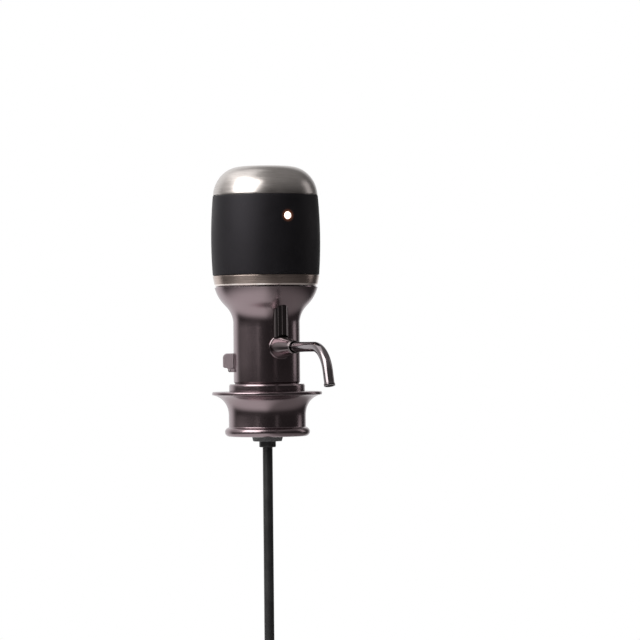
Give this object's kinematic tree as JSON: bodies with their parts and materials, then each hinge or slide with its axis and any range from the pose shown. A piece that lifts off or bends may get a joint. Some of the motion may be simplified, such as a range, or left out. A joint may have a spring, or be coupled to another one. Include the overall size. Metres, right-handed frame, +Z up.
{
  "type": "electric wine aerator",
  "caption": "Battery pump head that seals on a wine bottle's neck and pushes wine up a dip tube, through an aerating nozzle and out of a bent side spout.",
  "frame": {"origin": "centre of the neck's lip plane, where the stopper's flat seal rests", "axes": "+Z up along the body's axis, -Y towards the spout and the indicator light"},
  "size_m": [0.0554, 0.1041, 0.3663],
  "materials": {
    "brushed_silver": "satin brushed",
    "soft_touch_black": "matte soft touch",
    "gunmetal_satin": "satin metallic",
    "dark_chrome": "polished dark chrome",
    "lever_grey": "satin",
    "lens_white": "frosted light pipe",
    "white_plastic": "moulded",
    "black_plastic": "moulded",
    "silicone": "matte silicone",
    "steel": "plain",
    "board_green": "solder mask",
    "cell_jacket": "gloss sleeve",
    "copper": "wound copper and laminations",
    "magnet_grey": "ferrite"
  },
  "bodies": {
    "root": {"band_ring": "brushed_silver", "lower_housing": "gunmetal_satin", "collar_nut": "gunmetal_satin", "base_collar": "gunmetal_satin", "neck_stopper": "silicone", "dip_socket": "black_plastic", "dip_tube": "black_plastic", "flow_block": "white_plastic", "aeration_nozzle": "lever_grey", "check_valve": "silicone", "hub_bezel": "dark_chrome", "spout_hub": "dark_chrome", "spout_o_ring": "silicone", "air_duct_rib": "dark_chrome", "air_hose": "silicone", "lever_pin": "steel", "battery_holder": "black_plastic", "battery_1": "cell_jacket", "battery_2": "cell_jacket", "battery_3": "cell_jacket", "battery_4": "cell_jacket", "battery_5": "cell_jacket", "battery_6": "cell_jacket", "contact_ring_lower": "steel", "contact_ring_upper": "steel", "holder_screw_1": "steel", "holder_screw_2": "steel", "holder_screw_3": "steel", "led_board": "board_green", "indicator_led": "lens_white", "circuit_board": "board_green", "power_switch": "black_plastic", "motor_lead_positive": "black_plastic", "motor_lead_negative": "black_plastic", "motor_can": "steel", "motor_end_cap": "white_plastic", "motor_magnet": "magnet_grey", "pump_housing": "white_plastic", "wobble_plate": "lever_grey", "diaphragm": "silicone", "valve_plate": "lever_grey", "pump_head": "white_plastic", "pump_screw_1": "steel", "pump_screw_2": "steel", "pump_screw_3": "steel"},
    "cover": {"top_dome": "brushed_silver", "grip_sleeve": "soft_touch_black", "led_lens": "lens_white", "button_guide": "white_plastic", "button_spring": "steel"},
    "button": {"push_button": "brushed_silver"},
    "plunger": {"switch_plunger": "white_plastic"},
    "rotor": {"motor_rotor": "copper", "drive_eccentric": "white_plastic"},
    "spout_ring": {"outlet_ring": "brushed_silver"},
    "spout": {"spout_tube": "dark_chrome"},
    "vent": {"vent_lever": "lever_grey", "vent_pad": "silicone"}
  },
  "joints": [
    {"name": "cover_lift", "type": "slide", "parent": "root", "child": "cover", "axis": [0, 0, 1], "range_m": [0, 0.05]},
    {"name": "button_press", "type": "slide", "parent": "cover", "child": "button", "axis": [0, 0, -1], "range_m": [0, 0.0015], "stiffness_N_per_m": 600, "springref_m": -0.001, "deforming": ["button_spring"]},
    {"name": "plunger_press", "type": "slide", "parent": "root", "child": "plunger", "axis": [0, 0, -1], "range_m": [0, 0.0015], "stiffness_N_per_m": 100, "springref_m": -0.001},
    {"name": "motor_spin", "type": "hinge", "parent": "root", "child": "rotor", "pos_m": [0, 0, 0.0547], "axis": [0, 0, 1], "continuous": true},
    {"name": "spout_turn", "type": "hinge", "parent": "root", "child": "spout_ring", "pos_m": [0, -0.03245, 0.0253], "axis": [0, -1, 0], "range_deg": [-180, 180]},
    {"name": "spout_pull", "type": "slide", "parent": "spout_ring", "child": "spout", "axis": [0, -1, 0], "range_m": [0, 0.018]},
    {"name": "vent_lift", "type": "hinge", "parent": "root", "child": "vent", "pos_m": [-0.01585, 0.00915, 0.0138], "axis": [-0.5, -0.866, 0], "range_deg": [0, 25], "stiffness_Nm_per_rad": 0.004, "springref_deg": -11.46}
  ],
  "couplings": [
    {"joint": "plunger_press", "follows": "button_press", "ratio": 1}
  ]
}
